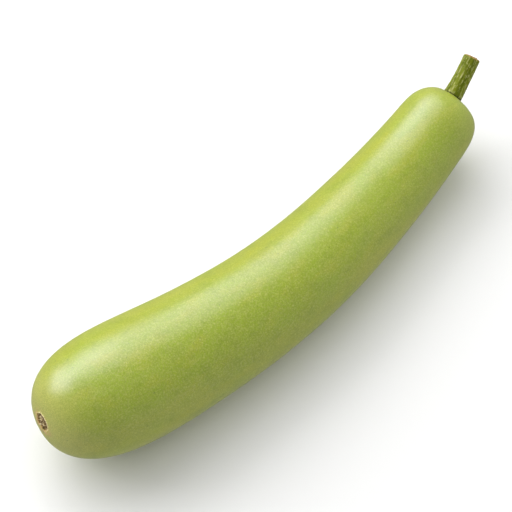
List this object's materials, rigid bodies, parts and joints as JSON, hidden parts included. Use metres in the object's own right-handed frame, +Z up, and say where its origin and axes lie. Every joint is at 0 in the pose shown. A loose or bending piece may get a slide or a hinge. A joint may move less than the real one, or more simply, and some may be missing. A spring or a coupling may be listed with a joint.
{
  "type": "bottle gourd",
  "caption": "Whole long bottle gourd, gently bent, with a rounded blossom end, a slimmer neck and a short cut stem, lying on its side.",
  "frame": {"origin": "middle of the bounding box on the surface that the gourd lies on", "axes": "+X along the length towards the stem, +Y towards the hollow side of the bend, +Z up from the surface"},
  "size_m": [0.3694, 0.0838, 0.0787],
  "materials": {
    "skin": "fresh pale green gourd skin, waxy satin with a very fine paler mottle and a dry brown blossom scar",
    "stem": "green fibrous stalk with pale lengthwise streaks and a dry tan cut end"
  },
  "bodies": {
    "root": {"fruit": "skin", "stem": "stem"}
  },
  "joints": []
}
